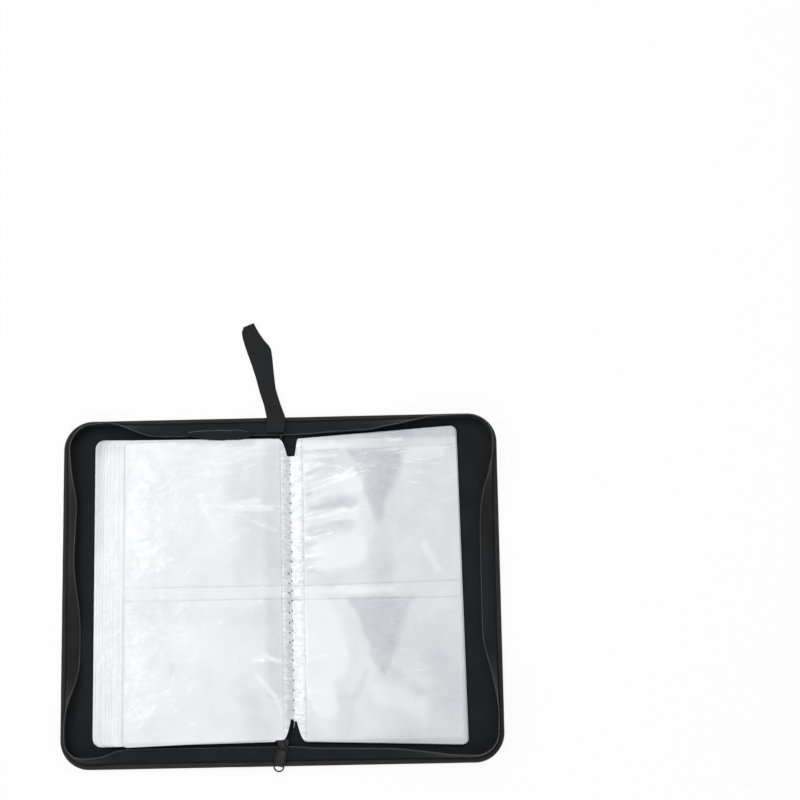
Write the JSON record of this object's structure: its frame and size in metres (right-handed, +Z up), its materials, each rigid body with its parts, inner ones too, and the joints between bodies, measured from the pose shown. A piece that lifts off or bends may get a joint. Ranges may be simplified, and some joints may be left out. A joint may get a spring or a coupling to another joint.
{
  "type": "cd storage case",
  "caption": "Zippered disc wallet lying open: two padded covers on a spine, folded clear sleeve sheets sewn in, zipper halves round the edges and a wrist strap.",
  "frame": {"origin": "centre of the spine's underside, on the table that the open case lies on", "axes": "+X to the right (back) cover, +Y along the spine towards the wrist strap, +Z up"},
  "size_m": [0.37, 0.3848, 0.0184],
  "materials": {
    "leatherette": "padded grained leatherette",
    "binding_ribbon": "ribbed grosgrain",
    "stiffener_board": "grey board",
    "lining_cloth": "fine woven nylon",
    "zipper_tape": "woven polyester",
    "nylon_teeth": "moulded nylon",
    "black_metal": "black enamel",
    "sleeve_sheet": "clear film welded to non-woven sheet",
    "webbing": "ribbed polyester webbing"
  },
  "bodies": {
    "back_cover": {"back_cover_skin": "leatherette", "back_cover_board": "stiffener_board", "back_cover_lining": "lining_cloth", "back_cover_binding": "binding_ribbon", "back_zipper_tape": "zipper_tape", "back_zipper_teeth": "nylon_teeth", "sleeve_sheet_5_right": "sleeve_sheet", "sleeve_sheet_6": "sleeve_sheet"},
    "spine": {"spine_skin": "leatherette", "spine_board": "stiffener_board", "spine_lining": "lining_cloth", "spine_binding_bottom": "binding_ribbon", "spine_binding_top": "binding_ribbon", "zipper_end_tape_bottom_front": "zipper_tape", "zipper_end_tape_bottom_back": "zipper_tape", "zipper_end_tape_top_front": "zipper_tape", "zipper_end_tape_top_back": "zipper_tape", "zipper_end_teeth_bottom_front": "nylon_teeth", "zipper_end_teeth_bottom_back": "nylon_teeth", "zipper_end_teeth_top_front": "nylon_teeth", "zipper_end_teeth_top_back": "nylon_teeth", "zipper_slider": "black_metal", "zipper_end_stop": "black_metal", "wrist_strap": "webbing"},
    "front_cover": {"front_cover_skin": "leatherette", "front_cover_board": "stiffener_board", "front_cover_lining": "lining_cloth", "front_cover_binding": "binding_ribbon", "front_zipper_tape": "zipper_tape", "front_zipper_teeth": "nylon_teeth", "sleeve_sheet_1": "sleeve_sheet", "sleeve_sheet_2": "sleeve_sheet", "sleeve_sheet_3": "sleeve_sheet", "sleeve_sheet_4": "sleeve_sheet", "sleeve_sheet_5_left": "sleeve_sheet"},
    "pull": {"pull_loop": "black_metal", "pull_plate": "black_metal"}
  },
  "joints": [
    {"name": "spine_fold", "type": "hinge", "parent": "back_cover", "child": "spine", "pos_m": [0.017, 0, 0.0018], "axis": [0, 1, 0], "range_deg": [0, 90], "deforming": ["sleeve_sheet_5_right", "sleeve_sheet_6"]},
    {"name": "front_cover_fold", "type": "hinge", "parent": "spine", "child": "front_cover", "pos_m": [-0.017, 0, 0.0018], "axis": [0, 1, 0], "range_deg": [0, 90], "deforming": ["sleeve_sheet_1", "sleeve_sheet_2", "sleeve_sheet_3", "sleeve_sheet_4", "sleeve_sheet_5_left"]},
    {"name": "pull_swing", "type": "hinge", "parent": "spine", "child": "pull", "pos_m": [0.0015, -0.13071, 0.01044], "axis": [-0.9744, 0.225, 0], "range_deg": [0, 150]}
  ]
}
